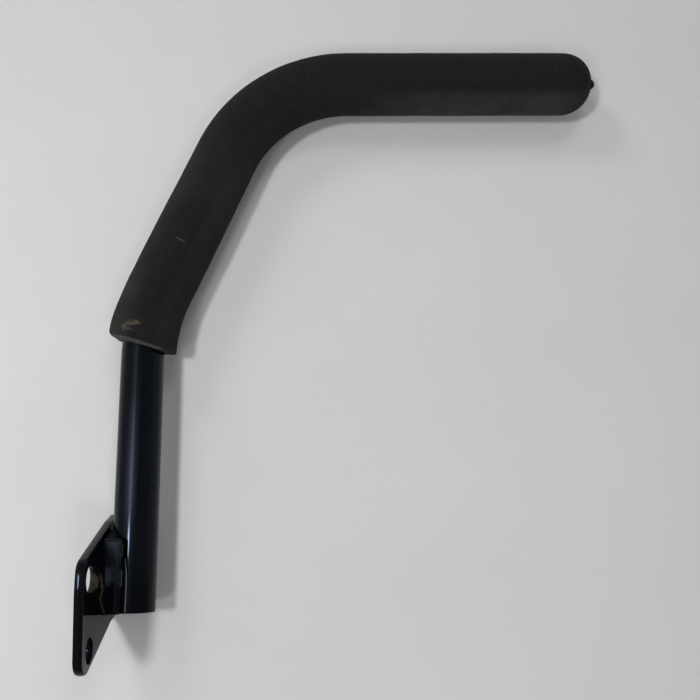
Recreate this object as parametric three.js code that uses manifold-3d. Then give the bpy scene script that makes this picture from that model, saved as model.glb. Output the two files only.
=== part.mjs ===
// Bed assist rail: a bent steel tube with a moulded foam grip, welded to a bolt-on plate.
// Millimetres, +Z up along the lower tube, +X towards the grip's free end. The origin is on
// the plate's outer face, midway between its round bolt hole and its adjustment slot.

import * as THREE from 'three';
import { ParametricGeometry } from 'three/addons/geometries/ParametricGeometry.js';
import { mergeVertices } from 'three/addons/utils/BufferGeometryUtils.js';
import Module from 'manifold-3d';

const wasm = await Module();
wasm.setup();

// ---- driving dimensions ------------------------------------------------------------------

const GAP = 0.3; // clearance kept between pieces that touch on the real rail
const ROUND_SIDES = 32;

// Bent tube, one inch outside diameter. Lengths run along its centreline.
const TUBE_RADIUS = 12.7;
const TUBE_WALL = 2;
const LOWER_STRAIGHT = 146.5;
const LOWER_BEND_RADIUS = 110;
const LOWER_BEND = THREE.MathUtils.degToRad(24);
const MIDDLE_STRAIGHT = 96;
const UPPER_BEND_RADIUS = 85;
const UPPER_BEND = THREE.MathUtils.degToRad(66);
const TUBE_TOP_STRAIGHT = 145;

// Foam grip, closed at its free end.
const GRIP_RADIUS = 19.8;
const GRIP_START = 155; // along the centreline
const GRIP_MOUTH_TILT = THREE.MathUtils.degToRad(17);
const GRIP_TOP_STRAIGHT = 161; // to the crown of its domed end
const DOME_LENGTH = 18;
const NUB_RADIUS = 3;
const NUB_HEIGHT = 2;

// Plastic plug in the tube's upper end.
const PLUG_FLANGE = 2.5;
const PLUG_SHANK = 18;

// Mounting plate. Y and Z are measured from the tube's axis and its lower end.
const PLATE_THICKNESS = 5;
const PLATE_TO_AXIS = 14;
const HOLE_Y = -34.5;
const HOLE_RADIUS = 6.75;
const LOWER_HOLE_Z = -16.5;
const SLOT_Z = 19.5;
const SLOT_LENGTH = 25;
const PLATE_CORNERS = [
  { y: -46.3, z: -32.8, round: 9 },
  { y: 8.5, z: -5.8, round: 12 },
  { y: 22, z: -2.4, round: 4 },
  { y: 22, z: 57, round: 5 },
  { y: 2.5, z: 50.7, round: 8 },
  { y: -51.5, z: 27.7, round: 12 },
];

// Flat bars that flank the tube and tie it to the plate.
const BAR_THICKNESS = 5.8;
const BAR_REACH = 10.2;
const BAR_HEIGHT = 40.5;
const BAR_CORNER = 3;

// Weld beads.
const SEAM_RADIUS = 2.4;
const FILLET_RADIUS = 2.7;
const SEAM_END_MARGIN = 1;

// ---- helpers -----------------------------------------------------------------------------

/** Turns a closed geometry into a manifold solid, with its shared corners merged. */
function toSolid(geometry) {
  const bare = geometry.clone();
  bare.deleteAttribute('normal');
  bare.deleteAttribute('uv');
  const merged = mergeVertices(bare, 1e-4);
  const index = merged.index.array;
  const kept = [];
  for (let i = 0; i < index.length; i += 3) {
    const [a, b, c] = [index[i], index[i + 1], index[i + 2]];
    if (a !== b && b !== c && c !== a) kept.push(a, b, c);
  }
  const mesh = new wasm.Mesh({
    numProp: 3,
    vertProperties: new Float32Array(merged.attributes.position.array),
    triVerts: new Uint32Array(kept),
  });
  return new wasm.Manifold(mesh);
}

/** Turns a manifold solid back into a three.js geometry. */
function toGeometry(solid) {
  const mesh = solid.getMesh();
  const geometry = new THREE.BufferGeometry();
  geometry.setAttribute('position', new THREE.BufferAttribute(mesh.vertProperties, 3));
  geometry.setIndex(new THREE.BufferAttribute(mesh.triVerts, 1));
  geometry.computeVertexNormals();
  return geometry;
}

function boxSolid(low, high) {
  const size = high.map((value, axis) => value - low[axis]);
  const box = new THREE.BoxGeometry(...size);
  box.translate(...low.map((value, axis) => value + size[axis] / 2));
  return toSolid(box);
}

/** Extrudes a shape drawn in the YZ plane along +X, from x to x + depth. */
function extrudeAlongX(shape, x, depth, curveSegments) {
  const geometry = new THREE.ExtrudeGeometry(shape, { depth, bevelEnabled: false, curveSegments });
  // Shape x becomes Y, shape y becomes Z and the depth becomes X.
  geometry.applyMatrix4(new THREE.Matrix4().set(0, 0, 1, x, 1, 0, 0, 0, 0, 1, 0, 0, 0, 0, 0, 1));
  return geometry;
}

function circleShape(radius, sides) {
  const points = [];
  for (let i = 0; i < sides; i += 1) {
    const angle = (2 * Math.PI * i) / sides;
    points.push(new THREE.Vector2(radius * Math.cos(angle), radius * Math.sin(angle)));
  }
  return new THREE.Shape(points);
}

/** A closed outline whose corners are rounded by arcs tangent to both sides. */
function roundedOutline(corners) {
  const shape = new THREE.Shape();
  corners.forEach((corner, i) => {
    const here = new THREE.Vector2(corner.y, corner.z);
    const before = corners[(i + corners.length - 1) % corners.length];
    const after = corners[(i + 1) % corners.length];
    const toBefore = new THREE.Vector2(before.y, before.z).sub(here).normalize();
    const toAfter = new THREE.Vector2(after.y, after.z).sub(here).normalize();
    const half = Math.acos(toBefore.dot(toAfter)) / 2;
    const middle = toBefore.clone().add(toAfter).normalize();
    const centre = here.clone().addScaledVector(middle, corner.round / Math.sin(half));
    const start = here.clone().addScaledVector(toBefore, corner.round / Math.tan(half)).sub(centre);
    const end = here.clone().addScaledVector(toAfter, corner.round / Math.tan(half)).sub(centre);
    const clockwise = toBefore.cross(toAfter) > 0;
    shape.absarc(centre.x, centre.y, corner.round, start.angle(), end.angle(), clockwise);
  });
  return shape;
}

// ---- the rail's centreline ---------------------------------------------------------------

const BEND_STEP = THREE.MathUtils.degToRad(4.2);
const MIDDLE_START = LOWER_STRAIGHT + LOWER_BEND_RADIUS * LOWER_BEND;
const UPPER_START = MIDDLE_START + MIDDLE_STRAIGHT;
const TOP_START = UPPER_START + UPPER_BEND_RADIUS * UPPER_BEND;
const TUBE_LENGTH = TOP_START + TUBE_TOP_STRAIGHT;
const GRIP_CROWN = TOP_START + GRIP_TOP_STRAIGHT;

/** The point at a distance along the centreline, and the slope there as an angle from +Z. */
function railPoint(distance) {
  const position = new THREE.Vector3(0, 0, Math.min(distance, LOWER_STRAIGHT));
  let slope = 0;
  const addBend = (start, radius, bend) => {
    const turned = THREE.MathUtils.clamp((distance - start) / radius, 0, bend);
    position.x += radius * (Math.cos(slope) - Math.cos(slope + turned));
    position.z += radius * (Math.sin(slope + turned) - Math.sin(slope));
    slope += turned;
  };
  const addStraight = (start, length) => {
    const run = THREE.MathUtils.clamp(distance - start, 0, length);
    position.x += run * Math.sin(slope);
    position.z += run * Math.cos(slope);
  };
  addBend(LOWER_STRAIGHT, LOWER_BEND_RADIUS, LOWER_BEND);
  addStraight(MIDDLE_START, MIDDLE_STRAIGHT);
  addBend(UPPER_START, UPPER_BEND_RADIUS, UPPER_BEND);
  addStraight(TOP_START, Infinity);
  return { position, slope };
}

/** Distances between two ends at which a sweep needs a section: few on straights, many in bends. */
function stations(from, to) {
  const marks = [from, to];
  const addBend = (start, radius, bend) => {
    const count = Math.ceil(bend / BEND_STEP);
    for (let i = 0; i <= count; i += 1) marks.push(start + (radius * bend * i) / count);
  };
  addBend(LOWER_STRAIGHT, LOWER_BEND_RADIUS, LOWER_BEND);
  addBend(UPPER_START, UPPER_BEND_RADIUS, UPPER_BEND);
  return marks.filter((mark) => mark >= from && mark <= to).sort((a, b) => a - b);
}

/** Part of the centreline as a three.js curve, with one parameter step for each station. */
class RailCurve extends THREE.Curve {
  constructor(from, to) {
    super();
    this.marks = stations(from, to);
  }

  get steps() {
    return this.marks.length - 1;
  }

  distanceAt(t) {
    const place = t * this.steps;
    const i = Math.min(Math.floor(place), this.steps - 1);
    return THREE.MathUtils.lerp(this.marks[i], this.marks[i + 1], place - i);
  }

  getPoint(t) {
    return railPoint(this.distanceAt(t)).position;
  }

  getPointAt(u) {
    return this.getPoint(u);
  }

  getTangent(t) {
    const { slope } = railPoint(this.distanceAt(t));
    return new THREE.Vector3(Math.sin(slope), 0, Math.cos(slope));
  }

  getTangentAt(u) {
    return this.getTangent(u);
  }
}

/** A round bar that follows the centreline from one distance to another. */
function railSweep(radius, from, to) {
  const extrudePath = new RailCurve(from, to);
  const section = circleShape(radius, ROUND_SIDES);
  return toSolid(new THREE.ExtrudeGeometry(section, { steps: extrudePath.steps, extrudePath }));
}

// ---- the pieces --------------------------------------------------------------------------

/** Round tube bent twice, open at both ends. */
function railTube() {
  const outer = railSweep(TUBE_RADIUS, 0, TUBE_LENGTH);
  const bore = railSweep(TUBE_RADIUS - TUBE_WALL, -1, TUBE_LENGTH + 1);
  return toGeometry(outer.subtract(bore));
}

/** Plug with a flange over the tube's cut end and a shank inside its bore. */
function tubeEndPlug() {
  const shankRadius = TUBE_RADIUS - TUBE_WALL - GAP;
  const profile = [
    [0, -PLUG_SHANK],
    [shankRadius - 1, -PLUG_SHANK],
    [shankRadius, -PLUG_SHANK + 2],
    [shankRadius, GAP],
    [TUBE_RADIUS, GAP],
    [TUBE_RADIUS, GAP + PLUG_FLANGE - 1],
    [TUBE_RADIUS - 1, GAP + PLUG_FLANGE],
    [0, GAP + PLUG_FLANGE],
  ].map(([radius, along]) => new THREE.Vector2(radius, along));
  const geometry = new THREE.LatheGeometry(profile, ROUND_SIDES);
  geometry.rotateZ(-Math.PI / 2);
  geometry.translate(...railPoint(TUBE_LENGTH).position.toArray());
  return geometry;
}

/** Sections of the grip's outside: distance along the centreline, and radius there. */
function gripSections(start) {
  const domeStart = GRIP_CROWN - DOME_LENGTH;
  const sections = stations(start, domeStart).map((distance) => [distance, GRIP_RADIUS]);
  const domeSteps = 7;
  for (let i = 1; i < domeSteps; i += 1) {
    const angle = (i / domeSteps) * (Math.PI / 2);
    const distance = domeStart + DOME_LENGTH * Math.sin(angle);
    sections.push([distance, GRIP_RADIUS * Math.cos(angle)]);
  }
  sections.push([GRIP_CROWN - 0.2, NUB_RADIUS]);
  sections.push([GRIP_CROWN + NUB_HEIGHT * 0.7, NUB_RADIUS * 0.75]);
  sections.push([GRIP_CROWN + NUB_HEIGHT, 0]);
  return [[start, 0], ...sections];
}

/** Closed-end foam sleeve over the bent part of the tube, its mouth cut off at a slant. */
function foamGrip() {
  const start = GRIP_START - 25;
  const sections = gripSections(start);
  const surface = (u, v, target) => {
    const [distance, radius] = sections[Math.round(u * (sections.length - 1))];
    const { position, slope } = railPoint(distance);
    const turn = -2 * Math.PI * v;
    const across = radius * Math.cos(turn);
    target.set(across * Math.cos(slope), radius * Math.sin(turn), -across * Math.sin(slope));
    target.add(position);
  };
  const outside = toSolid(new ParametricGeometry(surface, sections.length - 1, ROUND_SIDES));
  const boreEnd = TUBE_LENGTH + PLUG_FLANGE + 2 * GAP;
  const bore = railSweep(TUBE_RADIUS + GAP, start - 5, boreEnd);
  const waste = new THREE.BoxGeometry(120, 120, 60);
  waste.translate(0, 0, -30);
  waste.rotateY(GRIP_MOUTH_TILT);
  waste.translate(...railPoint(GRIP_START).position.toArray());
  return toGeometry(outside.subtract(bore).subtract(toSolid(waste)));
}

/** Leaning plate with a round bolt hole below and a level slot above it. */
function mountingPlate() {
  const outline = roundedOutline(PLATE_CORNERS);
  const hole = new THREE.Path();
  hole.absarc(HOLE_Y, LOWER_HOLE_Z, HOLE_RADIUS, 0, 2 * Math.PI, true);
  const slot = new THREE.Path();
  const reach = SLOT_LENGTH / 2 - HOLE_RADIUS;
  slot.absarc(HOLE_Y + reach, SLOT_Z, HOLE_RADIUS, Math.PI / 2, -Math.PI / 2, true);
  slot.absarc(HOLE_Y - reach, SLOT_Z, HOLE_RADIUS, -Math.PI / 2, -1.5 * Math.PI, true);
  outline.holes.push(hole, slot);
  return extrudeAlongX(outline, -PLATE_TO_AXIS - PLATE_THICKNESS, PLATE_THICKNESS, 10);
}

const BAR_BACK = -PLATE_TO_AXIS + GAP;
const BAR_FRONT = BAR_BACK + BAR_REACH;
const BAR_INNER = TUBE_RADIUS + GAP;
const BAR_OUTER = BAR_INNER + BAR_THICKNESS;

/** Bar beside the tube; side is -1 for the near one and 1 for the far one. */
function sideBar(side) {
  const [inner, outer] = [side * BAR_INNER, side * BAR_OUTER];
  const corners = [
    { y: inner, z: 0, round: 0.2 },
    { y: outer, z: 0, round: 0.5 },
    { y: outer, z: BAR_HEIGHT, round: BAR_CORNER },
    { y: inner, z: BAR_HEIGHT, round: 0.5 },
  ];
  const outline = roundedOutline(corners);
  return extrudeAlongX(outline, BAR_BACK, BAR_REACH, 3);
}

/** The space that a bead may not enter: tube, plate and bar, each with its gap. */
function beadLimits(side) {
  const tube = railSweep(TUBE_RADIUS + GAP, -5, 80);
  const plate = boxSolid([-PLATE_TO_AXIS - 20, -90, -60], [-PLATE_TO_AXIS + GAP, 90, 90]);
  const ends = [side * (BAR_INNER - GAP), side * (BAR_OUTER + GAP)].sort((a, b) => a - b);
  const bar = boxSolid([BAR_BACK - 5, ends[0], -5], [BAR_FRONT + GAP, ends[1], BAR_HEIGHT + GAP]);
  return tube.add(plate).add(bar);
}

/** A round bead laid through some points, then trimmed by the pieces that it joins. */
function weldBead(side, radius, points) {
  const route = points.map(([x, y, z]) => new THREE.Vector3(x, side * y, z));
  const extrudePath = new THREE.CatmullRomCurve3(route);
  const steps = (points.length - 1) * 3;
  const bead = new THREE.ExtrudeGeometry(circleShape(radius, 12), { steps, extrudePath });
  return toGeometry(toSolid(bead).subtract(beadLimits(side)));
}

/** Bead in the corner between a bar's outer face and the plate. */
function plateWeld(side) {
  return weldBead(side, FILLET_RADIUS, [
    [BAR_BACK + 0.4, BAR_OUTER + 0.4, SEAM_END_MARGIN],
    [BAR_BACK + 0.4, BAR_OUTER + 0.4, BAR_HEIGHT / 2],
    [BAR_BACK + 0.4, BAR_OUTER + 0.4, BAR_HEIGHT - SEAM_END_MARGIN],
  ]);
}

/** Bead in the groove between a bar's front edge and the tube. */
function tubeWeld(side) {
  return weldBead(side, SEAM_RADIUS, [
    [BAR_FRONT + 0.4, BAR_INNER + 1, SEAM_END_MARGIN],
    [BAR_FRONT + 0.4, BAR_INNER + 1, BAR_HEIGHT / 2],
    [BAR_FRONT + 0.4, BAR_INNER + 1, BAR_HEIGHT - SEAM_END_MARGIN],
  ]);
}

/** Bead that climbs from a bar's top round the tube to the plate's upper edge. */
function topWeld(side) {
  return weldBead(side, FILLET_RADIUS, [
    [BAR_FRONT - 1.2, 13.6, BAR_HEIGHT + 1.6],
    [BAR_FRONT - 4.2, 12.2, BAR_HEIGHT + 3.4],
    [BAR_FRONT - 7, 9.6, BAR_HEIGHT + 4.8],
    [BAR_FRONT - 9.2, 6.2, BAR_HEIGHT + 5.6],
  ]);
}

// ---- assembly ----------------------------------------------------------------------------

const gloss = { color: 0x14161a, roughness: 0.25, metalness: 0.3 };
const bead = { color: 0x111215, roughness: 0.4, metalness: 0.3 };
const foam = { color: 0x2b2a29, roughness: 0.95, metalness: 0 };
const plastic = { color: 0x1a1a1a, roughness: 0.6, metalness: 0 };

const rail = new THREE.Group();
rail.position.set(PLATE_TO_AXIS + PLATE_THICKNESS, -HOLE_Y, -(LOWER_HOLE_Z + SLOT_Z) / 2);

function addPiece(name, geometry, finish) {
  const mesh = new THREE.Mesh(geometry, new THREE.MeshStandardMaterial(finish));
  mesh.name = name;
  rail.add(mesh);
}

addPiece('rail_tube', railTube(), gloss);
addPiece('tube_end_plug', tubeEndPlug(), plastic);
addPiece('foam_grip', foamGrip(), foam);
addPiece('mounting_plate', mountingPlate(), gloss);
for (const [label, side] of [['near', -1], ['far', 1]]) {
  addPiece(`side_bar_${label}`, sideBar(side), gloss);
  addPiece(`plate_weld_${label}`, plateWeld(side), bead);
  addPiece(`tube_weld_${label}`, tubeWeld(side), bead);
  addPiece(`top_weld_${label}`, topWeld(side), bead);
}

const object = new THREE.Group();
object.add(rail);

export default object;
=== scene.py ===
"""Bed assist rail: detailed pieces, finishes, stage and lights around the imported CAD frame.

Metres, +Z up along the lower tube, +X towards the grip's free end, -Y towards the camera.
"""

import math

import bpy
from mathutils import Matrix, Vector, noise
from mathutils.geometry import tessellate_polygon


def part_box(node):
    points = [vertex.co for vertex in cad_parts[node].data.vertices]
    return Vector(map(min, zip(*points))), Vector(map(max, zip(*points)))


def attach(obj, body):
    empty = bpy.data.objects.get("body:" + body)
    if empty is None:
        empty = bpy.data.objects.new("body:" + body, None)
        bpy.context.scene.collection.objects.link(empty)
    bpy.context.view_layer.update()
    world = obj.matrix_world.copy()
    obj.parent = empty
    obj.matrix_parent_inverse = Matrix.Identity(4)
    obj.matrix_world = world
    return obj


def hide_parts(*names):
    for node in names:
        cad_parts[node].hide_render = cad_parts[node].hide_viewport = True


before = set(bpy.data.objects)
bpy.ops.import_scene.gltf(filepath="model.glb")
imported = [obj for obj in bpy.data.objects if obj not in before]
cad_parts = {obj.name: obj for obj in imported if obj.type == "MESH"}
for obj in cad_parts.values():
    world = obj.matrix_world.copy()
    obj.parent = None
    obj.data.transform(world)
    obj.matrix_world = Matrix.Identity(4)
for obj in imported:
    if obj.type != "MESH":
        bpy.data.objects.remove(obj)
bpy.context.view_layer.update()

MM = 0.001

# ---- places taken from the frame ---------------------------------------------------------

tube_low, tube_high = (Vector(corner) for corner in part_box("rail_tube"))
plate_low, plate_high = (Vector(corner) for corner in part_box("mounting_plate"))
bar_low, bar_high = (Vector(corner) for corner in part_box("side_bar_near"))
plug_high = Vector(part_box("tube_end_plug")[1])

TUBE_RADIUS = (tube_high.y - tube_low.y) / 2
# The tube's lower end centre: every local coordinate below is measured from it.
RAIL_ORIGIN = Vector((tube_low.x + TUBE_RADIUS, tube_low.y + TUBE_RADIUS, tube_low.z))

PLATE_OUTER_X = plate_low.x - RAIL_ORIGIN.x
PLATE_INNER_X = plate_high.x - RAIL_ORIGIN.x
BAR_BACK = bar_low.x - RAIL_ORIGIN.x
BAR_FRONT = bar_high.x - RAIL_ORIGIN.x
BAR_OUTER = RAIL_ORIGIN.y - bar_low.y
BAR_INNER = RAIL_ORIGIN.y - bar_high.y
BAR_HEIGHT = bar_high.z - RAIL_ORIGIN.z

# ---- the rail's centreline ---------------------------------------------------------------

LOWER_STRAIGHT = 146.5 * MM
LOWER_BEND_RADIUS = 110 * MM
LOWER_BEND = math.radians(24)
MIDDLE_STRAIGHT = 96 * MM
UPPER_BEND_RADIUS = 85 * MM
UPPER_BEND = math.radians(66)
TUBE_TOP_STRAIGHT = 145 * MM
GRIP_TOP_STRAIGHT = 161 * MM

MIDDLE_START = LOWER_STRAIGHT + LOWER_BEND_RADIUS * LOWER_BEND
UPPER_START = MIDDLE_START + MIDDLE_STRAIGHT
TOP_START = UPPER_START + UPPER_BEND_RADIUS * UPPER_BEND
TUBE_LENGTH = TOP_START + TUBE_TOP_STRAIGHT
GRIP_CROWN = TOP_START + GRIP_TOP_STRAIGHT - 0.5 * MM


def clamp(value, low, high):
    return max(low, min(high, value))


def smooth(value, low, high):
    """0 below low, 1 above high, eased between them."""
    t = clamp((value - low) / (high - low), 0.0, 1.0)
    return t * t * (3 - 2 * t)


def rail_point(distance):
    """The centreline's point at a distance from the lower end, and its slope from +Z."""
    x, z, slope = 0.0, min(distance, LOWER_STRAIGHT), 0.0
    for start, radius, bend, straight in (
        (LOWER_STRAIGHT, LOWER_BEND_RADIUS, LOWER_BEND, MIDDLE_STRAIGHT),
        (UPPER_START, UPPER_BEND_RADIUS, UPPER_BEND, math.inf),
    ):
        turned = clamp((distance - start) / radius, 0.0, bend)
        x += radius * (math.cos(slope) - math.cos(slope + turned))
        z += radius * (math.sin(slope + turned) - math.sin(slope))
        slope += turned
        run = clamp(distance - start - radius * bend, 0.0, straight)
        x += run * math.sin(slope)
        z += run * math.cos(slope)
    return Vector((x, 0.0, z)), slope


def on_rail(distance, angle, radius):
    """A point round the centreline. Angle 0 is inside the bends, -90 degrees faces -Y."""
    centre, slope = rail_point(distance)
    across = Vector((math.cos(slope), 0.0, -math.sin(slope)))
    aside = Vector((0, radius * math.sin(angle), 0))
    return centre + across * (radius * math.cos(angle)) + aside


# ---- mesh helpers ------------------------------------------------------------------------


def make_piece(name, points, faces, material, marks=None):
    """A mesh piece in the rail's own coordinates, with per-point marks for its material."""
    mesh = bpy.data.meshes.new(name)
    mesh.from_pydata([RAIL_ORIGIN + point for point in points], [], faces)
    mesh.validate()
    for polygon in mesh.polygons:
        polygon.use_smooth = True
    for label, values in (marks or {}).items():
        mesh.attributes.new(label, "FLOAT", "POINT").data.foreach_set("value", values)
    piece = bpy.data.objects.new(name, mesh)
    bpy.context.scene.collection.objects.link(piece)
    mesh.materials.append(material)
    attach(piece, "root")
    return piece


def closed_loft(rings):
    """Faces that join equal rings in order, and fans that close the first and last ring.

    A ring of one point is a pole. Returns the points and faces.
    """
    points, starts = [], []
    for ring in rings:
        starts.append(len(points))
        points.extend(ring)
    faces = []
    for (first, ring), (second, after) in zip(
        zip(starts, rings), zip(starts[1:], rings[1:])
    ):
        count = max(len(ring), len(after))
        for i in range(count):
            j = (i + 1) % count
            if len(ring) == 1:
                faces.append((first, second + j, second + i))
            elif len(after) == 1:
                faces.append((first + i, first + j, second))
            else:
                faces.append((first + i, first + j, second + j, second + i))
    return points, faces


def ripple(point, scale, seed):
    """Smooth repeatable noise between about -1 and 1."""
    return noise.noise(point / scale + Vector((seed, seed * 1.7, seed * 2.3)))


# ---- material helpers --------------------------------------------------------------------


class Finish:
    """A node material under construction, on object coordinates in metres."""

    def __init__(self, name):
        self.material = bpy.data.materials.new(name)
        self.material.use_nodes = True
        self.tree = self.material.node_tree
        self.shader = self.tree.nodes["Principled BSDF"]
        self.place = self.add("ShaderNodeTexCoord").outputs["Object"]

    def add(self, kind, inputs=None, **settings):
        node = self.tree.nodes.new(kind)
        for key, value in settings.items():
            setattr(node, key, value)
        for key, value in (inputs or {}).items():
            self.put(node, key, value)
        return node

    def put(self, node, key, value):
        if isinstance(value, bpy.types.NodeSocket):
            self.tree.links.new(value, node.inputs[key])
        else:
            node.inputs[key].default_value = value

    def set(self, **values):
        for key, value in values.items():
            self.put(self.shader, key.replace("_", " "), value)

    def mark(self, label):
        return self.add("ShaderNodeAttribute", attribute_name=label).outputs["Fac"]

    def noise(self, size, detail=2.0, rough=0.5, stretch=(1, 1, 1), shift=0.0):
        """Noise whose blobs are about `size` metres across."""
        moved = self.add(
            "ShaderNodeMapping",
            {
                "Vector": self.place,
                "Scale": stretch,
                "Location": (shift, shift * 0.7, shift * 1.3),
            },
        )
        node = self.add(
            "ShaderNodeTexNoise",
            {
                "Vector": moved.outputs[0],
                "Scale": 1 / size,
                "Detail": detail,
                "Roughness": rough,
            },
        )
        return node.outputs["Fac"]

    def cells(self, size):
        """Distance to the middle of cells about `size` metres across."""
        node = self.add(
            "ShaderNodeTexVoronoi", {"Vector": self.place, "Scale": 1 / size}, feature="F1"
        )
        return node.outputs["Distance"]

    def ease(self, value, low, high, start=0.0, end=1.0):
        """Maps low..high to start..end, held flat outside."""
        node = self.add(
            "ShaderNodeMapRange",
            {
                "Value": value,
                "From Min": low,
                "From Max": high,
                "To Min": start,
                "To Max": end,
            },
            interpolation_type="SMOOTHSTEP",
        )
        return node.outputs["Result"]

    def calc(self, operation, *values):
        node = self.add("ShaderNodeMath", operation=operation)
        for i, value in enumerate(values):
            self.put(node, i, value)
        return node.outputs[0]

    def blend(self, factor, first, second):
        """Colour mix: first where factor is 0, second where it is 1."""
        node = self.add("ShaderNodeMix", data_type="RGBA")
        self.put(node, "Factor", factor)
        for i, value in ((6, first), (7, second)):
            if not isinstance(value, bpy.types.NodeSocket):
                value = (*value, 1.0)
            self.put(node, i, value)
        return node.outputs[2]

    def bump(self, height, depth, strength=1.0, under=None):
        inputs = {"Height": height, "Distance": depth, "Strength": strength}
        if under is not None:
            inputs["Normal"] = under
        return self.add("ShaderNodeBump", inputs).outputs[0]


# ---- camera ------------------------------------------------------------------------------

CAMERA_PLACE = Vector((110.73, -503.77, 33.5)) * MM
CAMERA_FORWARD = Vector((0.0280, 0.9736, 0.2266)).normalized()
CAMERA_UP = Vector((0.0101, -0.2269, 0.9739))


def make_camera():
    data = bpy.data.cameras.new("camera")
    data.sensor_width = 36
    data.lens = 43.71
    data.clip_start = 0.01
    camera = bpy.data.objects.new("camera", data)
    right = CAMERA_FORWARD.cross(CAMERA_UP).normalized()
    up = right.cross(CAMERA_FORWARD)
    basis = Matrix((right, up, -CAMERA_FORWARD)).transposed()
    camera.matrix_world = Matrix.Translation(RAIL_ORIGIN + CAMERA_PLACE) @ basis.to_4x4()
    bpy.context.scene.collection.objects.link(camera)
    bpy.context.scene.camera = camera


make_camera()

# ---- finishes ----------------------------------------------------------------------------


def gloss_paint():
    """Blue-black gloss paint: faint orange peel, fine dust, chipped and dirty marked edges,
    some chips placed as painted highlight specks, and a paler haze that is a painted
    reflection.
    """
    paint = Finish("gloss_paint")
    haze = paint.noise(14 * MM, detail=4, rough=0.6)
    dust = paint.ease(paint.noise(0.9 * MM, detail=2, shift=3.0), 0.70, 0.80)
    ragged = paint.noise(1.1 * MM, detail=4, rough=0.65, shift=5.0)
    # Chips where the edge mark is high: real chipped edges, and on the bars' front corners
    # painted highlight specks.
    chips = paint.ease(paint.calc("ADD", ragged, paint.mark("edge")), 1.46, 1.52)
    dirt = paint.calc("MULTIPLY", paint.mark("bare"), paint.ease(ragged, 0.32, 0.66, 0.2, 0.9))
    base = paint.blend(haze, (0.0022, 0.0028, 0.0040), (0.0036, 0.0043, 0.0058))
    base = paint.blend(paint.calc("MULTIPLY", dust, 0.12), base, (0.12, 0.115, 0.105))
    base = paint.blend(chips, base, (0.15, 0.14, 0.12))
    base = paint.blend(dirt, base, (0.052, 0.049, 0.038))
    streak = paint.noise(2.4 * MM, detail=4, rough=0.7, stretch=(1, 1, 0.45), shift=9.0)
    # Where the haze mark is set the coat is rougher, which is real, and paler, which is a
    # painted reflection.
    haze_with_painted_reflection = paint.calc("MULTIPLY", paint.mark("haze"), paint.ease(streak, 0.28, 0.68, 0.25, 1.0))
    base = paint.blend(haze_with_painted_reflection, base, (0.0062, 0.0076, 0.0104))
    peel = paint.noise(3.0 * MM, detail=1, shift=1.0)
    wave = paint.noise(16 * MM, detail=1, stretch=(1, 1, 0.3), shift=2.0)
    normal = paint.bump(wave, 0.006 * MM)
    normal = paint.bump(peel, 0.0025 * MM, under=normal)
    normal = paint.bump(paint.calc("MAXIMUM", chips, dirt), -0.06 * MM, under=normal)
    worn = paint.calc("MAXIMUM", paint.calc("MULTIPLY", chips, 0.4), dirt)
    worn = paint.calc("MULTIPLY_ADD", haze_with_painted_reflection, 0.36, worn)
    paint.set(
        Base_Color=base,
        Roughness=paint.calc("ADD", paint.ease(haze, 0.3, 0.7, 0.045, 0.08), worn),
        Normal=normal,
        IOR=1.22,
    )
    return paint.material


def weld_paint():
    """The same coat over rough beads: pits, brown dirt, rust, and pale lines where the worn
    mark is set, which are painted highlights.
    """
    paint = Finish("weld_paint")
    worn = paint.mark("worn")
    rust = paint.mark("rust")
    grain = paint.noise(0.9 * MM, detail=5, rough=0.7)
    rusty = paint.ease(paint.calc("ADD", grain, rust), 1.12, 1.22)
    stained = paint.calc("MULTIPLY", paint.ease(rust, 0.05, 0.6), 0.35)
    tone = paint.noise(2.0 * MM, detail=3, shift=4.0)
    base = paint.blend(tone, (0.0022, 0.0034, 0.0040), (0.0040, 0.0052, 0.0056))
    base = paint.blend(stained, base, (0.030, 0.018, 0.008))
    # Pale blue-grey lines where the worn mark is set: painted highlights along the bead's toes.
    painted_glint = paint.ease(paint.calc("ADD", grain, worn), 0.95, 1.35)
    base = paint.blend(painted_glint, base, (0.17, 0.18, 0.20))
    mottle = paint.ease(tone, 0.35, 0.65)
    orange = paint.blend(mottle, (0.050, 0.026, 0.010), (0.088, 0.056, 0.025))
    paint.set(
        Base_Color=paint.blend(rusty, base, orange),
        Roughness=paint.ease(rusty, 0.0, 1.0, 0.32, 0.85),
        Specular_IOR_Level=0.04,
        Normal=paint.bump(grain, 0.05 * MM),
        IOR=1.22,
    )
    return paint.material


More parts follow.
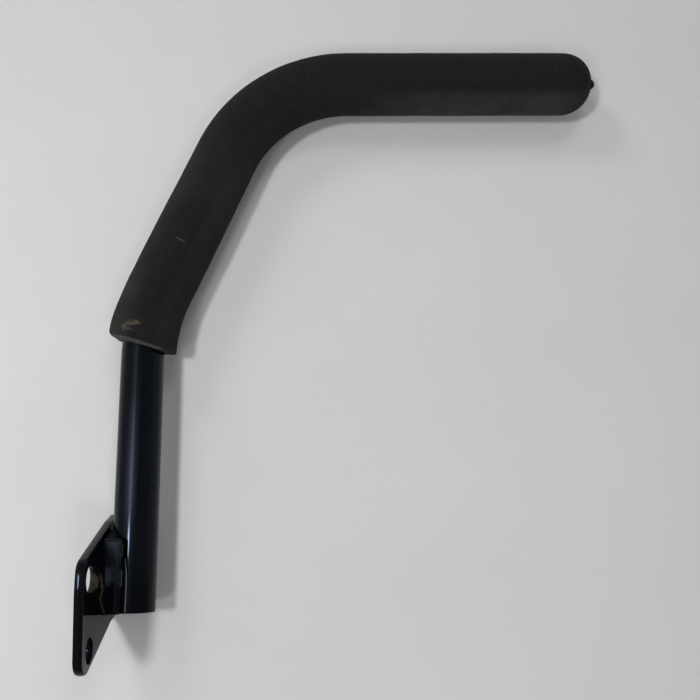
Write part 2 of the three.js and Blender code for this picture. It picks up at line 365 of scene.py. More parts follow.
def grip_foam():
    """Charcoal closed-cell foam: fine pores, mottled tone, dust, paler flanks that are painted
    sheen, one tan scuff, a scratch.
    """
    foam = Finish("grip_foam")
    cloud = foam.noise(16 * MM, detail=4, rough=0.6)
    speck = foam.noise(2.2 * MM, detail=3, rough=0.7, shift=2.0)
    pore = foam.cells(0.55 * MM)
    base = foam.blend(cloud, (0.0118, 0.0126, 0.0143), (0.0168, 0.0172, 0.0184))
    base = foam.blend(foam.ease(speck, 0.35, 0.75), base, (0.0200, 0.0202, 0.0204))
    # The dust mark's paler tone: dust under the top arm, painted sheen on the long arm's
    # flanks.
    dust_and_painted_sheen = foam.calc("MULTIPLY", foam.mark("dust"), foam.ease(cloud, 0.30, 0.65, 0.55, 1.0))
    base = foam.blend(dust_and_painted_sheen, base, (0.0510, 0.0500, 0.0465))
    grain = foam.noise(1.5 * MM, detail=4, rough=0.7, stretch=(1, 1, 2), shift=7.0)
    scuffed = foam.ease(foam.calc("ADD", grain, foam.mark("scuff")), 1.0, 1.5)
    tan = foam.blend(foam.ease(speck, 0.35, 0.65), (0.048, 0.038, 0.031), (0.098, 0.086, 0.067))
    base = foam.blend(scuffed, base, tan)
    raw = foam.blend(foam.ease(speck, 0.30, 0.70), (0.050, 0.047, 0.040), (0.115, 0.108, 0.091))
    base = foam.blend(foam.mark("cut"), base, raw)
    scratched = foam.ease(foam.calc("ADD", grain, foam.mark("scratch")), 1.0, 1.3)
    base = foam.blend(foam.calc("MULTIPLY", scratched, 0.7), base, (0.062, 0.066, 0.062))
    normal = foam.bump(pore, 0.10 * MM)
    normal = foam.bump(speck, 0.12 * MM, under=normal)
    foam.set(
        Base_Color=base,
        Roughness=foam.ease(cloud, 0.3, 0.7, 0.88, 0.97),
        Normal=normal,
        Specular_IOR_Level=0.0,
        Sheen_Weight=0.05,
        Sheen_Roughness=0.5,
    )
    return foam.material


def plug_plastic():
    """Black moulded plastic with a fine spark-eroded grain."""
    plastic = Finish("plug_plastic")
    grain = plastic.noise(0.6 * MM, detail=3)
    plastic.set(
        Base_Color=plastic.blend(grain, (0.010, 0.010, 0.010), (0.016, 0.016, 0.016)),
        Roughness=plastic.ease(grain, 0.3, 0.7, 0.5, 0.65),
        Normal=plastic.bump(grain, 0.05 * MM),
    )
    return plastic.material


PAINT = gloss_paint()
WELD = weld_paint()
FOAM = grip_foam()
PLASTIC = plug_plastic()

for material_slot in bpy.data.objects["tube_end_plug"].material_slots:
    material_slot.material = PLASTIC

# ---- bent tube ---------------------------------------------------------------------------

TUBE_SIDES = 128
TUBE_BORE_RADIUS = TUBE_RADIUS - 2 * MM
RIM_CHAMFER = 0.45 * MM


def spread(start, end, step):
    """Even stations from start to end, both included, no more than a step apart."""
    count = max(1, math.ceil(abs(end - start) / step))
    return [start + (end - start) * i / count for i in range(count + 1)]


def around(sides):
    return [2 * math.pi * i / sides for i in range(sides)]


def make_tube():
    angles = around(TUBE_SIDES)
    outside = [(0.0, TUBE_RADIUS - RIM_CHAMFER), (0.12 * MM, TUBE_RADIUS - 0.15 * MM)]
    outside += [(RIM_CHAMFER, TUBE_RADIUS)]
    outside += [(s, TUBE_RADIUS) for s in spread(1.2 * MM, 175 * MM, 2 * MM)]
    outside += [(s, TUBE_RADIUS) for s in spread(180 * MM, TUBE_LENGTH, 4 * MM)]
    inside = [(s, TUBE_BORE_RADIUS) for s in spread(TUBE_LENGTH, 0.4 * MM, 5 * MM)]
    inside += [(0.0, TUBE_BORE_RADIUS + 0.4 * MM)]
    profile = outside + inside
    rings = [[on_rail(s, a, r) for a in angles] for s, r in profile]
    points = [point for ring in rings for point in ring]
    edge = [clamp(1 - s / (1.3 * MM), 0, 1) for s, _ in profile for _ in angles]
    faces = []
    for k in range(len(rings)):
        first, second = k * TUBE_SIDES, (k + 1) % len(rings) * TUBE_SIDES
        for i in range(TUBE_SIDES):
            j = (i + 1) % TUBE_SIDES
            faces.append((first + j, first + i, second + i, second + j))
    tube = make_piece("bent_tube", points, faces, PAINT, {"edge": edge})
    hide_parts("rail_tube")


make_tube()

# ---- foam grip ---------------------------------------------------------------------------

GRIP_SIDES = 160
GRIP_START = 155 * MM
GRIP_MOUTH_TILT = math.radians(17.3)
GRIP_MOUTH_LEAN = 0.06
GRIP_MOUTH_CONE = 1.5 * MM
GRIP_RADIUS = 19.8 * MM
GRIP_BORE = TUBE_RADIUS + 0.12 * MM
LIP_RADIUS = 2.4 * MM
LIP_STEPS = 6
DOME_LENGTH = 20 * MM
DOME_STEPS = 22
DOME_POWER = 2.2
NUB_RADIUS = 3.3 * MM
NUB_HEIGHT = 2.9 * MM
# Rings over the nub, in shares of its radius and of its height.
NUB_RINGS = (
    (1.18, -0.18), (1.0, 0.05), (0.92, 0.35), (0.72, 0.66), (0.42, 0.90), (0.18, 0.985),
)
MOUTH_FLARE = 1.5 * MM
SCUFF_DEPTH = 0.25 * MM


def grip_radius(s):
    """The sleeve swells a little where the hand pushes."""
    swell = 0.4 * MM * math.exp(-(((s - 222 * MM) / (36 * MM)) ** 2))
    return GRIP_RADIUS + swell


def mouth_shift(angle, radius):
    """How far along the rail a point beside GRIP_START meets the mouth's slanted plane."""
    centre = rail_point(GRIP_START)[0]
    up = Vector((math.sin(GRIP_MOUTH_TILT), -GRIP_MOUTH_LEAN, math.cos(GRIP_MOUTH_TILT)))
    shift = 0.0
    for _ in range(5):
        shift -= (on_rail(GRIP_START + shift, angle, radius) - centre).dot(up)
    return shift


def grip_marks(s, angle):
    """Dust and painted sheen, scuff and scratch on the sleeve, each from 0 to 1.

    The angle comes in radians from 0 to a full turn. Here it is read in degrees from -180
    to 180: 0 is inside the bends, and -90 faces -Y.
    """
    degrees = math.degrees(angle)
    degrees = degrees - 360 if degrees > 180 else degrees
    arc = GRIP_RADIUS * math.radians(1)

    def patch(centre_s, centre_angle, half_s, half_arc, tilt=0.0):
        v = (degrees - centre_angle) * arc
        u = s - centre_s - tilt * v
        return clamp(1.25 - math.hypot(u / half_s, v / half_arc), 0, 1)

    # Grime on the underside of the top arm. Along both flanks of the long arm, more on the left
    # near the mouth, a paler tone that is painted sheen; and a paler band round the long arm
    # between 235 and 300 mm.
    long_arm = 1 - smooth(s, 265 * MM, 350 * MM)
    under = smooth(s, 385 * MM, 450 * MM) * (1 - 0.35 * smooth(s, 505 * MM, 540 * MM))
    dust = 0.80 * under * smooth(math.cos(angle), 0.55, 0.9)
    right_flank_painted_sheen = smooth(degrees, -68, -46) * (1 - smooth(degrees, 90, 160))
    left_flank_painted_sheen = smooth(-90 - degrees, 2, 42) + smooth(degrees, 90, 160)
    dust += (0.08 + 0.16 * long_arm) * right_flank_painted_sheen * (1 - under)
    dust += (0.18 + 0.26 * (1 - smooth(s, 175 * MM, 215 * MM))) * long_arm * left_flank_painted_sheen
    dust += 0.12 * smooth(s, 235 * MM, 255 * MM) * (1 - smooth(s, 275 * MM, 300 * MM))
    scuff = max(
        patch(163.6 * MM, -101, 3.1 * MM, 8.2 * MM, 0.10),
        patch(161.0 * MM, -115, 3.6 * MM, 3.4 * MM),
        patch(159.7 * MM, -107, 1.2 * MM, 6.5 * MM, 0.05),
    )
    scratch = patch(220.6 * MM, -83, 0.8 * MM, 9 * MM, -0.12)
    return dust, scuff, scratch


def make_grip():
    angles = around(GRIP_SIDES)
    rings, marks = [], {"dust": [], "scuff": [], "scratch": [], "cut": []}
    outer = grip_radius(GRIP_START)

    def add_ring(s, radius, bent=1.0, worn=False, cut=0.0):
        """One ring of the sleeve. bent is how far it leans with the mouth, from 0 to 1."""
        ring = []
        # The cut face falls away from the lip towards the tube.
        share = (outer - LIP_RADIUS - radius) / (outer - LIP_RADIUS - GRIP_BORE)
        cone = GRIP_MOUTH_CONE * bent * clamp(share, 0, 1)
        # The mouth flares on the outer side of the bend.
        flare = 1 - smooth(s, GRIP_START + 4 * MM, GRIP_START + 32 * MM)
        for angle in angles:
            place = s - cone + (bent * mouth_shift(angle, radius) if bent else 0.0)
            outer_side = max(0.0, -math.cos(angle)) if radius > GRIP_BORE + 1 * MM else 0.0
            reach = radius + MOUTH_FLARE * flare * outer_side
            dust, scuff, scratch = (0.0, 0.0, 0.0)
            if worn:
                dust, scuff, scratch = grip_marks(place, angle)
                spot = on_rail(place, angle, radius)
                reach += 0.10 * MM * ripple(spot, 13 * MM, 1.0)
                reach += 0.05 * MM * ripple(spot, 4 * MM, 2.0)
                reach -= SCUFF_DEPTH * scuff
            ring.append(on_rail(place, angle, reach))
            raw = cut * (1 - 0.9 * smooth(math.cos(angle), 0.66, 0.86))
            values = (("dust", dust), ("scuff", scuff), ("scratch", scratch), ("cut", raw))
            for label, value in values:
                marks[label].append(value)
        rings.append(ring)

    def add_pole(s):
        rings.append([rail_point(s)[0]])
        for values in marks.values():
            values.append(0.0)

    # The bore ends just past the plug.
    bore_end_x = plug_high.x - RAIL_ORIGIN.x + 0.3 * MM
    bore_end = TOP_START + bore_end_x - rail_point(TOP_START)[0].x
    add_pole(bore_end)
    for s in spread(bore_end, GRIP_START + 30 * MM, 5 * MM):
        add_ring(s, GRIP_BORE, bent=0.0)
    for s in spread(GRIP_START + 24 * MM, GRIP_START + 1 * MM, 3 * MM):
        add_ring(s, GRIP_BORE, bent=1 - smooth(s, GRIP_START, GRIP_START + 28 * MM))
    # Mouth: out of the bore over a small round, across the cut face, round the lip.
    add_ring(GRIP_START + 0.25 * MM, GRIP_BORE + 0.15 * MM, cut=1.0)
    for radius in spread(GRIP_BORE + 0.5 * MM, outer - LIP_RADIUS, 0.8 * MM):
        add_ring(GRIP_START, radius, cut=1.0)
    for i in range(1, LIP_STEPS + 1):
        turn = math.pi / 2 * i / LIP_STEPS
        radius = outer - LIP_RADIUS * (1 - math.sin(turn))
        rise = LIP_RADIUS * (1 - math.cos(turn))
        add_ring(GRIP_START + rise, radius, worn=True, cut=max(0, 1 - 2.2 * i / LIP_STEPS))
    body = spread(GRIP_START + LIP_RADIUS + 0.9 * MM, GRIP_START + 40 * MM, 0.9 * MM)
    body += spread(GRIP_START + 41.5 * MM, GRIP_CROWN - DOME_LENGTH, 1.6 * MM)
    for s in body:
        bent = 1 - smooth(s, GRIP_START + 3 * MM, GRIP_START + 36 * MM)
        add_ring(s, grip_radius(s), bent=bent, worn=True)
    for i in range(1, DOME_STEPS):
        along = DOME_LENGTH * math.sin(math.pi / 2 * i / DOME_STEPS)
        radius = GRIP_RADIUS * (1 - (along / DOME_LENGTH) ** 2) ** (1 / DOME_POWER)
        if radius < NUB_RADIUS * 1.25:  # The nub's foot starts here.
            break
        add_ring(GRIP_CROWN - DOME_LENGTH + along, radius, bent=0.0, worn=True)
    for wide, high in NUB_RINGS:
        add_ring(GRIP_CROWN + high * NUB_HEIGHT, NUB_RADIUS * wide, bent=0.0)
    add_pole(GRIP_CROWN + NUB_HEIGHT)

    points, faces = closed_loft(rings)
    faces = [tuple(reversed(face)) for face in faces]
    grip = make_piece("foam_sleeve", points, faces, FOAM, marks)
    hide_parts("foam_grip")


make_grip()

# ---- mounting plate ----------------------------------------------------------------------

PLATE_CORNERS = (  # y, z, rounding, in millimetres
    (-46.3, -32.8, 9),
    (8.5, -5.8, 12),
    (22, -2.4, 4),
    (22, 57, 5),
    (2.5, 50.7, 8),
    (-51.35, 27.76, 9),
    (-51.62, 13.0, 40),
)
HOLE_Y = -34.5 * MM
HOLE_RADIUS = 6.75 * MM
LOWER_HOLE_Z = -16.5 * MM
SLOT_Z = 19.5 * MM
SLOT_LENGTH = 25 * MM
EDGE_ROUND = 0.8 * MM
HOLE_ROUND = 0.45 * MM
ROUND_STEPS = 4
EDGE_BULGE = 0.25 * MM
SLOT = 2  # The slot's number among the plate's outlines.


def rounded_outline(corners, step=1.2 * MM):
    """Points of a closed outline with tangent arcs at its corners, counter-clockwise."""
    arcs = []
    for i, (y, z, round_mm) in enumerate(corners):
        here = Vector((y, z)) * MM
        to_before = (Vector(corners[i - 1][:2]) * MM - here).normalized()
        to_after = (Vector(corners[(i + 1) % len(corners)][:2]) * MM - here).normalized()
        radius = round_mm * MM
        half = to_before.angle(to_after) / 2
        centre = here + (to_before + to_after).normalized() * (radius / math.sin(half))
        start = here + to_before * (radius / math.tan(half)) - centre
        end = here + to_after * (radius / math.tan(half)) - centre
        first = math.atan2(start.y, start.x)
        turn = (math.atan2(end.y, end.x) - first + math.pi) % (2 * math.pi) - math.pi
        count = max(4, math.ceil(abs(turn) * radius / step * 2))
        angles = [first + turn * k / count for k in range(count + 1)]
        arcs.append([centre + radius * Vector((math.cos(a), math.sin(a))) for a in angles])
    outline = []
    for i, arc in enumerate(arcs):
        outline += arc
        gap = arcs[(i + 1) % len(arcs)][0] - arc[-1]
        count = math.ceil(gap.length / step)
        outline += [arc[-1] + gap * k / count for k in range(1, count)]
    return outline


def slot_outline(y, z, radius, length, sides=48):
    """Clockwise outline of a level slot, or of a round hole when length is its diameter."""
    reach = length / 2 - radius
    outline = []
    for k in range(sides):
        angle = math.pi / 2 - 2 * math.pi * k / sides - math.pi / sides
        side = reach if math.cos(angle) > 0 else -reach
        outline.append(
            Vector((y + side + radius * math.cos(angle), z + radius * math.sin(angle)))
        )
    return outline


def inset(outline, depth):
    """Moves each point of an outline to its left, into the material."""
    moved = []
    for i, here in enumerate(outline):
        along = outline[(i + 1) % len(outline)] - outline[i - 1]
        moved.append(here + Vector((-along.y, along.x)).normalized() * depth)
    return moved


def plate_solid(outlines, low, high):
    """A flat solid between two x planes: outlines are (loop, edge rounding) pairs."""
    points, faces, edge, bare = [], [], [], []
    caps = ([], [])
    for number, (outline, rounding) in enumerate(outlines):
        steps = [math.pi / 2 * k / ROUND_STEPS for k in range(ROUND_STEPS + 1)]
        profile = [
            (low + rounding * (1 - math.sin(a)), rounding * (1 - math.cos(a)))
            for a in reversed(steps)
        ]
        # Sheared walls bulge a little between their rounded edges.
        wall = high - low - 2 * rounding
        profile += [
            (low + rounding + wall * k / 4, -EDGE_BULGE * math.sin(math.pi * k / 4))
            for k in (1, 2, 3)
        ]
        profile += [
            (high - rounding * (1 - math.sin(a)), rounding * (1 - math.cos(a))) for a in steps
        ]
        count = len(outline)
        starts = []
        for k, (x, depth) in enumerate(profile):
            starts.append(len(points))
            points += [Vector((x, p.x, p.y)) for p in inset(outline, depth)]
            from_cap = min(k, len(profile) - 1 - k)
            worn = math.sin(math.pi * min(from_cap, ROUND_STEPS) / ROUND_STEPS) ** 2
            edge += [0.72 * worn] * count
            bare += [1.0 if number == SLOT and from_cap > 0 else 0.0] * count
        for first, second in zip(starts, starts[1:]):
            for i in range(count):
                j = (i + 1) % count
                faces.append((first + i, first + j, second + j, second + i))
        for cap, start in zip(caps, (starts[0], starts[-1])):
            cap.append(list(range(start, start + count)))
    for cap, outward in zip(caps, (-1, 1)):
        order = [index for loop in cap for index in loop]
        loops = [[Vector((points[i].y, points[i].z, 0)) for i in loop] for loop in cap]
        for triangle in tessellate_polygon(loops):
            a, b, c = (order[i] for i in triangle)
            normal = (points[b] - points[a]).cross(points[c] - points[a])
            faces.append((a, b, c) if normal.x * outward > 0 else (a, c, b))
    return points, faces, {"edge": edge, "bare": bare}


def flatten_normals(piece):
    """Keeps big flat faces flat while their rounded edges stay smooth."""
    weighted = piece.modifiers.new("weighted", "WEIGHTED_NORMAL")
    weighted.mode = "FACE_AREA"
    weighted.weight = 100


def make_plate():
    hole = slot_outline(HOLE_Y, LOWER_HOLE_Z, HOLE_RADIUS, 2 * HOLE_RADIUS)
    slot = slot_outline(HOLE_Y, SLOT_Z, HOLE_RADIUS, SLOT_LENGTH)
    rim = rounded_outline(PLATE_CORNERS)
    outlines = [(rim, EDGE_ROUND), (hole, HOLE_ROUND), (slot, HOLE_ROUND)]
    points, faces, marks = plate_solid(outlines, PLATE_OUTER_X, PLATE_INNER_X)
    for i, point in enumerate(points):
        # The slot's wall is bare between a roof and a floor of paint, which close in
        # towards the plate's inner face.
        z = point.z / MM
        inward = (point.x - PLATE_OUTER_X) / (PLATE_INNER_X - PLATE_OUTER_X)
        roof, floor = 24.5 - 5.0 * inward, 11.0 + 4.0 * inward
        marks["bare"][i] *= smooth(roof - z, -0.6, 0.8) * smooth(z - floor, -0.4, 0.6)
    plate = make_piece("bolt_plate", points, faces, PAINT, marks)
    flatten_normals(plate)
    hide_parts("mounting_plate")


make_plate()

# ---- side bars ---------------------------------------------------------------------------

BAR_ROUND = 1.1 * MM
# Only the near bar carries the haze mark: a painted reflection on its upper face.
BAR_PAINTED_REFLECTION_SIDE = -1  # Only the near bar is hazy.
# Seven points round each corner, and one more on the flat at either side: steps of 15
# degrees, and millimetres along the flat.
CORNER_POINTS = ((0, -0.8), *((k, 0) for k in range(7)), (6, 0.8))


def make_bar(label, side):
    """A flat bar seen end-on as a rounded rectangle, its top sawn and softly rounded."""
    loop = []
    half_x, half_y = (BAR_FRONT - BAR_BACK) / 2, (BAR_OUTER - BAR_INNER) / 2
    middle = Vector(((BAR_FRONT + BAR_BACK) / 2, side * (BAR_OUTER + BAR_INNER) / 2, 0))
    for sx, sy, start in ((1, 1, 0), (-1, 1, 90), (-1, -1, 180), (1, -1, 270)):
        for k, aside in CORNER_POINTS:
            angle = math.radians(start + 15 * k)
            offset = Vector((math.cos(angle), math.sin(angle), 0)) * BAR_ROUND
            along = Vector((-math.sin(angle), math.cos(angle), 0)) * aside * MM
            corner = Vector((sx * (half_x - BAR_ROUND), sy * (half_y - BAR_ROUND), 0))
            loop.append((corner + along, offset))
    rings = [[middle.copy()]]
    heights = [(0.0, -0.6), (0.1, -0.25), (0.45, 0.0)]
    heights += [(z, 0.0) for z in spread(2.0, BAR_HEIGHT / MM - 1.6, 1.0)]
    heights += [(BAR_HEIGHT / MM - 0.7, -0.15), (BAR_HEIGHT / MM - 0.2, -0.55)]
    heights += [(BAR_HEIGHT / MM, -1.05)]
    for z, grow in heights:
        scale = max(1 + grow * MM / BAR_ROUND * 0.9, 0.05)
        lift = Vector((0, 0, z * MM))
        rings.append([middle + corner + offset * scale + lift for corner, offset in loop])
    rings.append([middle + Vector((0, 0, BAR_HEIGHT))])
    points, faces = closed_loft(rings)
    edge, haze = [], []
    for p in points:
        worn = 0.35 if p.z > BAR_HEIGHT - 1 * MM else 0.0
        # On the front outer corners, chips packed into two height bands: painted highlight
        # specks.
        if p.x > BAR_FRONT - BAR_ROUND * 0.7 and abs(p.y) > BAR_OUTER - BAR_ROUND * 0.9:
            upper = smooth(p.z, 28 * MM, 31 * MM)
            lower = smooth(p.z, 13 * MM, 15 * MM) * (1 - smooth(p.z, 23 * MM, 25 * MM))
            worn = 0.55 + 0.42 * max(upper, lower)
        edge.append(worn)
        # Upper face of the near bar, fading in from 13 to 20 mm up: rougher haze plus a paler
        # painted reflection.
        haze_with_painted_reflection_mask = smooth(p.z, 13 * MM, 20 * MM) * smooth(abs(p.y), BAR_INNER, BAR_OUTER)
        haze.append(haze_with_painted_reflection_mask if side == BAR_PAINTED_REFLECTION_SIDE else 0.0)
    marks = {"edge": edge, "haze": haze}
    bar = make_piece(f"flat_bar_{label}", points, faces, PAINT, marks)
    flatten_normals(bar)
    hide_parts(f"side_bar_{label}")


# ---- weld beads --------------------------------------------------------------------------

BEAD_STEP = 0.35 * MM
BEAD_ARC_STEPS = 12


def bead(name, corner, first_toe, second_toe, crown, pitch, seed, rust=None, worn=None):
    """A fillet bead lofted along a seam.

    corner, first_toe and second_toe give points along the seam for t from 0 to 1, and crown
    is how far the bead bulges beyond the straight line between its toes. Overlapping drops
    a pitch apart make its ripples. rust marks a point on it, and worn marks a point at v
    from 0 at the first toe to 1 at the second with a pale painted highlight.
    """
    length = sum((corner((i + 1) / 20) - corner(i / 20)).length for i in range(20))
    stations = max(12, math.ceil(length / BEAD_STEP))
    rings, rusting, painted_glint_marks = [], [], []

    def add(ring):
        rings.append(ring)
        rusting.extend(rust(point) if rust else 0.0 for point in ring)
        for i, point in enumerate(ring):
            painted_glint_marks.append(worn(point, (i - 1) / BEAD_ARC_STEPS) if worn and i else 0.0)

    add([(corner(0) + first_toe(0) + second_toe(0)) / 3])
    for i in range(stations + 1):
        t = i / stations
        root, one, two = corner(t), first_toe(t), second_toe(t)
        drop = (t * length / pitch + 0.25 * noise.noise(Vector((seed, t * 9, 0)))) % 1.0
        swell = 0.35 * MM * (1 - drop) ** 1.5 - 0.15 * MM
        ends = smooth(t, 0.0, 0.05) * (1 - smooth(t, 0.95, 1.0))
        ring = [root]
        middle = (one + two) / 2
        out = (middle - root).normalized()
        along = (corner(min(1, t + 0.01)) - corner(max(0, t - 0.01))).normalized()
        for k in range(BEAD_ARC_STEPS + 1):
            v = k / BEAD_ARC_STEPS
            bulge = math.sin(math.pi * v)
            base = one.lerp(two, v)
            # The middle of each drop runs ahead of its toes, but not at the bead's start.
            lag = 0.8 * MM * bulge * (1 if i > 2 else 0)
            point = base + out * bulge * (crown + swell) * (0.35 + 0.65 * ends)
            point += along * lag * 0.5
            point += out * 0.12 * MM * bulge * ripple(point, 1.2 * MM, seed)
            ring.append(point)
        add(ring)
    add([(corner(1) + first_toe(1) + second_toe(1)) / 3])
    points, faces = closed_loft(rings)
    return make_piece(name, points, faces, WELD, {"rust": rusting, "worn": painted_glint_marks})


def line(*stops):
    """A smooth path through some points, as a function of t from 0 to 1."""
    stops = [Vector(stop) * MM for stop in stops]

    def at(t):
        place = clamp(t, 0, 1) * (len(stops) - 1)
        i = min(int(place), len(stops) - 2)
        f = place - i
        before = stops[i - 1] if i else stops[0] * 2 - stops[1]
        after = stops[i + 2] if i + 2 < len(stops) else stops[-1] * 2 - stops[-2]
        a, b = stops[i], stops[i + 1]
        return (
            a * 2
            + (b - before) * f
            + (before * 2 - a * 5 + b * 4 - after) * f**2
            + (a * 3 - before - b * 3 + after) * f**3
        ) / 2

    return at


def mirrored(path, side):
    """A path on the near side (side -1) or its mirror image on the far side (side 1)."""
    return lambda t: Vector((path(t).x, -side * path(t).y, path(t).z))


def make_welds(label, side):
    near = side < 0
    bottom, top = 0.8, BAR_HEIGHT / MM - 0.8
    plate_x, front_x = PLATE_INNER_X / MM + 0.05, BAR_FRONT / MM + 0.05
    face_y = -BAR_OUTER / MM - 0.05
    levels = [bottom + (top - bottom) * i / 4 for i in range(5)]

    rust_line = line((-10.8, 0, 0.3), (-13.2, 0, 8.0), (-12.5, 0, 13.5), (-13.4, 0, 21.5))

    def rust(point):
        if not near or point.z > 22.5 * MM:
            return 0.0
        nearest = min(
            Vector((point.x - spot.x, point.z - spot.z)).length
            for spot in (rust_line(i / 40) for i in range(41))
        )
        stain = 0.45 * smooth(point.x, -13.2 * MM, -11.5 * MM)
        stain *= 1 - smooth(point.z, 12 * MM, 22 * MM)
        return max(1 - smooth(nearest, 0.15 * MM, 0.95 * MM), stain)

    root = line(*((plate_x, face_y, z) for z in levels))
    # The near bead widens upwards. The far one stays on the narrow strip of plate beside it.
    widths = (2.6, 2.4, 3.6, 6.0, 5.0) if near else (2.6, 2.4, 2.8, 3.1, 2.8)
    on_plate = line(*((plate_x, face_y - w, z) for z, w in zip(levels, widths)))
    widths = (3.2, 2.7, 2.3, 1.6, 0.9)
    on_bar = line(*((plate_x + w, face_y, z) for z, w in zip(levels, widths)))
    parts = [("plate_weld", root, on_plate, on_bar, 0.15, 2.6, rust, None)]

    # Pale painted highlight lines on the near tube bead: beside the tube below about 30 mm, and
    # beside the bar in two height bands.
    def worn(point, v):
        if not near:
            return 0.0
        z = point.z
        beside_tube = smooth(v, 0.66, 0.84) * (1 - smooth(z, 28 * MM, 33 * MM))
        upper = smooth(z, 29 * MM, 31 * MM) * (1 - smooth(z, 37.5 * MM, 39 * MM))
        lower = smooth(z, 13 * MM, 15 * MM) * (1 - smooth(z, 23 * MM, 25 * MM))
        beside_bar = (1 - smooth(v, 0.10, 0.24)) * max(upper, lower)
        return 0.85 * max(beside_tube, beside_bar)

    def on_tube(x, z):
        return (x, -math.sqrt((TUBE_RADIUS / MM) ** 2 - x**2) - 0.03, z)

    groove_y = on_tube(front_x, 0)[1]
    root = line(*((front_x, groove_y - 0.05, z) for z in levels))
    widths = (3.9, 4.1, 4.0, 3.8, 3.4)
    on_bar = line(*((front_x, groove_y - w, z) for z, w in zip(levels, widths)))
    places = (-1.1, -0.95, -1.1, -2.2, -2.8)
    toe = line(*(on_tube(x, z) for z, x in zip(levels, places)))
    parts.append(("tube_weld", root, on_bar, toe, -0.45, 3.1, None, worn))

    root = line(
        (-4.2, -12.9, 40.4), (-7.4, -11.2, 40.6), (-10.6, -8.2, 41.4), (-13.4, -4.0, 43.4)
    )
    places = ((-3.2, 40.9), (-5.4, 42.2), (-8.6, 43.6), (-11.8, 46.2))
    toe = line(*(on_tube(x, z) for x, z in places))
    on_plate = line(
        (-4.4, -17.2, 40.5), (-9.0, -17.0, 40.6), (-13.4, -14.6, 41.2), (-13.9, -4.5, 45.0)
    )
    parts.append(("top_weld", root, on_plate, toe, -0.30, 2.8, None, None))

    for seed, (kind, root, one, two, crown, pitch, rust_mark, painted_glint_mark) in enumerate(parts):
        # Mirroring a bead turns its faces inside out, so its toes change places as well.
        toes = (one, two) if near else (two, one)
        piece = bead(
            f"{kind}_bead_{label}",
            mirrored(root, side),
            mirrored(toes[0], side),
            mirrored(toes[1], side),
            crown * MM,
            pitch * MM,
            seed * 3.1 + (0 if near else 20),
            rust_mark,
            painted_glint_mark,
        )
        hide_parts(f"{kind}_{label}")


for label, side in (("near", -1), ("far", 1)):
    make_bar(label, side)
    make_welds(label, side)

# ---- stage -------------------------------------------------------------------------------

FLOOR_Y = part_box("mounting_plate")[1][1] + 0.2 * MM
FLOOR_HALF = 1.4


def make_floor():
    """Pale floor that the rail lies on. It shows from its front only, and casts no shadow."""
    mesh = bpy.data.meshes.new("floor")
    middle = Vector((0.15, FLOOR_Y, 0.15))
    corners = ((-1, -1), (1, -1), (1, 1), (-1, 1))
    mesh.from_pydata(
        [middle + Vector((x * FLOOR_HALF, 0, z * FLOOR_HALF)) for x, z in corners],
        [],
        [(0, 1, 2, 3)],
    )
    floor = bpy.data.objects.new("floor", mesh)
    bpy.context.scene.collection.objects.link(floor)
    finish = Finish("floor")
    cloud = finish.noise(90 * MM, detail=4, rough=0.55)
    finish.set(
        Base_Color=finish.blend(cloud, (0.70, 0.695, 0.69), (0.76, 0.755, 0.755)),
        Roughness=0.55,
        Specular_IOR_Level=0.3,
    )
    output = finish.tree.nodes["Material Output"]
    clear = finish.add("ShaderNodeBsdfTransparent")
    back = finish.add("ShaderNodeNewGeometry").outputs["Backfacing"]
    shadow = finish.add("ShaderNodeLightPath").outputs["Is Shadow Ray"]
    back = finish.calc("MAXIMUM", back, shadow)
    one_sided = finish.add("ShaderNodeMixShader")
    for key, value in ((0, back), (1, finish.shader.outputs[0]), (2, clear.outputs[0])):
        finish.tree.links.new(value, one_sided.inputs[key])
    finish.tree.links.new(one_sided.outputs[0], output.inputs["Surface"])
    mesh.materials.append(finish.material)


class Graph:
    """Math on sockets of one node tree."""

    def __init__(self, tree):
        self.tree = tree

    def calc(self, operation, *values):
        node = self.tree.nodes.new("ShaderNodeMath")
        node.operation = operation
        for i, value in enumerate(values):
            if isinstance(value, bpy.types.NodeSocket):
                self.tree.links.new(value, node.inputs[i])
            else:
                node.inputs[i].default_value = value
        return node.outputs[0]

    def curve(self, value, stops):
        """Piecewise map through (value, result) stops, flat outside them."""
        low, high = stops[0][0], stops[-1][0]
        top = max(result for _, result in stops)
        ramp = self.tree.nodes.new("ShaderNodeValToRGB")
        elements = ramp.color_ramp.elements
        while len(elements) < len(stops):
            elements.new(0.5)
        for element, (place, result) in zip(elements, stops):
            element.position = (place - low) / (high - low)
            element.color = (result / top,) * 3 + (1,)
        scaled = self.calc("DIVIDE", self.calc("SUBTRACT", value, low), high - low)
        self.tree.links.new(scaled, ramp.inputs[0])
        return self.calc("MULTIPLY", ramp.outputs["Color"], top)


# What gloss mirrors, by bearing (degrees from -Y towards +X) and by height (sine).
ROOM_BEARING = (
    (-180, 0.8), (-100, 0.75), (-85, 0.5), (-60, 0.32), (-20, 0.26), (-4, 0.22),
    (12, 0.22), (45, 0.28), (70, 0.38), (90, 0.65), (110, 0.8), (180, 0.8),
)
ROOM_HEIGHT = (
    (-1.0, 0.6), (-0.3, 0.5), (-0.06, 0.25), (-0.036, 0.25), (-0.026, 0.9), (0.3, 1.0),
    (1.0, 1.4),
)
WINDOW_BEARING = (
    (-76, 0.0), (-56, 0.07), (-43, 0.22), (-32, 0.52), (-23.5, 1.0), (-18.5, 0.85),
    (-12, 0.32), (-1, 0.12), (14, 0.0),
)
WINDOW_HEIGHT = (
    (-0.30, 0.02), (-0.18, 0.05), (-0.09, 0.1), (-0.03, 0.1), (0.0, 0.25), (0.036, 0.5),
    (0.052, 0.95), (0.09, 1.0), (0.137, 0.65), (0.178, 0.26), (0.214, 0.19), (0.35, 0.1),
    (0.6, 0.0),
)
WINDOW_LIGHT = 8.0
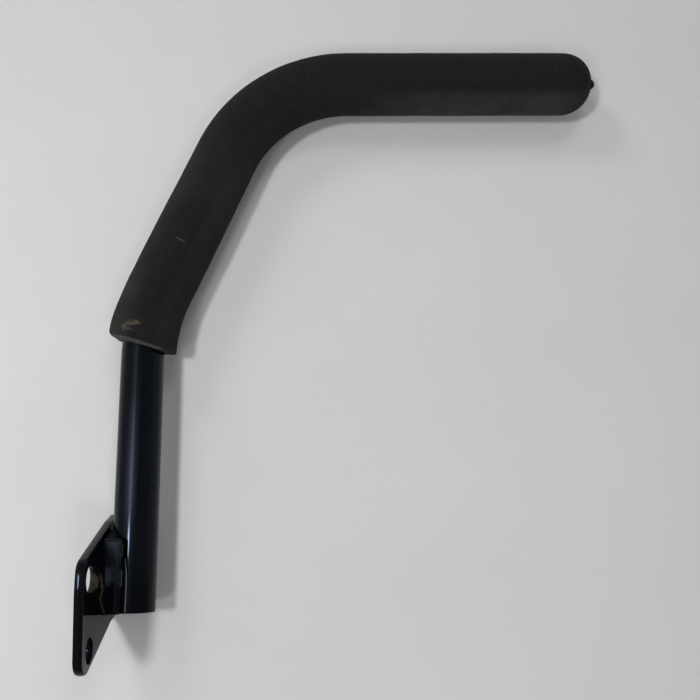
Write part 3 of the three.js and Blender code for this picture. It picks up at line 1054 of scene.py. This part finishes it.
LAMP_BEARING = ((-30, 0.0), (-26, 0.35), (-23.5, 1.0), (-21, 0.35), (-17, 0.0))
LAMP_HEIGHT = ((-0.014, 0.0), (0.0, 0.6), (0.008, 1.0), (0.018, 0.9), (0.026, 0.4), (0.04, 0.0))
LAMP_LIGHT = 110

ROOM_LIGHT = 0.17
SOFT_COLOUR = (0.80, 0.80, 0.81, 1)
GLOSS_COLOUR = (0.80, 1.0, 1.33, 1)
SEEN_COLOUR = (0.62, 0.62, 0.63, 1)


def make_world():
    """Pale room for the eye and for soft light. Gloss mirrors a dim room with a window."""
    world = bpy.data.worlds.new("room")
    bpy.context.scene.world = world
    world.use_nodes = True
    tree = world.node_tree
    graph = Graph(tree)
    background = tree.nodes["Background"]
    background.inputs["Color"].default_value = SOFT_COLOUR
    background.inputs["Strength"].default_value = ROOM_LIGHT
    split = tree.nodes.new("ShaderNodeSeparateXYZ")
    direction = tree.nodes.new("ShaderNodeTexCoord").outputs["Generated"]
    tree.links.new(direction, split.inputs[0])
    towards = graph.calc("MULTIPLY", split.outputs[1], -1)
    bearing = graph.calc("ARCTAN2", split.outputs[0], towards)
    bearing = graph.calc("MULTIPLY", bearing, 180 / math.pi)
    height = split.outputs[2]
    room = graph.calc(
        "MULTIPLY", graph.curve(bearing, ROOM_BEARING), graph.curve(height, ROOM_HEIGHT)
    )
    window = graph.calc(
        "MULTIPLY", graph.curve(bearing, WINDOW_BEARING), graph.curve(height, WINDOW_HEIGHT)
    )
    lamp = graph.calc(
        "MULTIPLY", graph.curve(bearing, LAMP_BEARING), graph.curve(height, LAMP_HEIGHT)
    )
    bright = graph.calc("MULTIPLY_ADD", window, WINDOW_LIGHT, room)
    bright = graph.calc("MULTIPLY_ADD", lamp, LAMP_LIGHT, bright)
    dim = tree.nodes.new("ShaderNodeBackground")
    dim.inputs["Color"].default_value = GLOSS_COLOUR
    tree.links.new(bright, dim.inputs["Strength"])
    seen = tree.nodes.new("ShaderNodeBackground")
    seen.inputs["Color"].default_value = SEEN_COLOUR
    path = tree.nodes.new("ShaderNodeLightPath")
    surface = background.outputs[0]
    for ray, other in (("Is Glossy Ray", dim), ("Is Camera Ray", seen)):
        mix = tree.nodes.new("ShaderNodeMixShader")
        tree.links.new(path.outputs[ray], mix.inputs[0])
        tree.links.new(surface, mix.inputs[1])
        tree.links.new(other.outputs[0], mix.inputs[2])
        surface = mix.outputs[0]
    tree.links.new(surface, tree.nodes["World Output"].inputs["Surface"])


def make_lamp(name, place, target, width, height, watts):
    """A soft lamp that lights surfaces, but isn't seen itself or mirrored in gloss."""
    data = bpy.data.lights.new(name, "AREA")
    data.shape = "RECTANGLE"
    data.size, data.size_y = width, height
    data.energy = watts
    lamp = bpy.data.objects.new(name, data)
    bpy.context.scene.collection.objects.link(lamp)
    place, target = Vector(place), Vector(target)
    lamp.location = place
    lamp.rotation_euler = (target - place).to_track_quat("-Z", "Y").to_euler()
    lamp.visible_camera = False
    lamp.visible_glossy = False


MIDDLE = (0.08, 0.05, 0.15)
LAMPS = (  # name, place, target, width, height, watts
    ("main_lamp", (-0.41, -1.36, 0.01), MIDDLE, 0.15, 0.20, 7.4),
    ("low_left", (-0.34, -1.18, -0.60), MIDDLE, 0.24, 0.24, 2.9),
    ("low_right", (0.39, -1.21, -0.60), MIDDLE, 0.24, 0.24, 2.1),
    ("left_fill", (-0.65, -0.88, 1.07), MIDDLE, 0.40, 0.35, 3.8),
    ("right_fill", (0.39, -1.21, 0.90), MIDDLE, 0.40, 0.35, 2.1),
    ("back_lamp", (-0.45, 1.25, 0.60), MIDDLE, 0.50, 0.50, 9.0),
    ("wall_wash", (-0.30, -0.14, 0.10), (0.0, 0.05, 0.10), 0.10, 0.30, 0.14),
)

make_floor()
make_world()
for lamp in LAMPS:
    make_lamp(*lamp)

bpy.context.scene.view_settings.view_transform = "Standard"
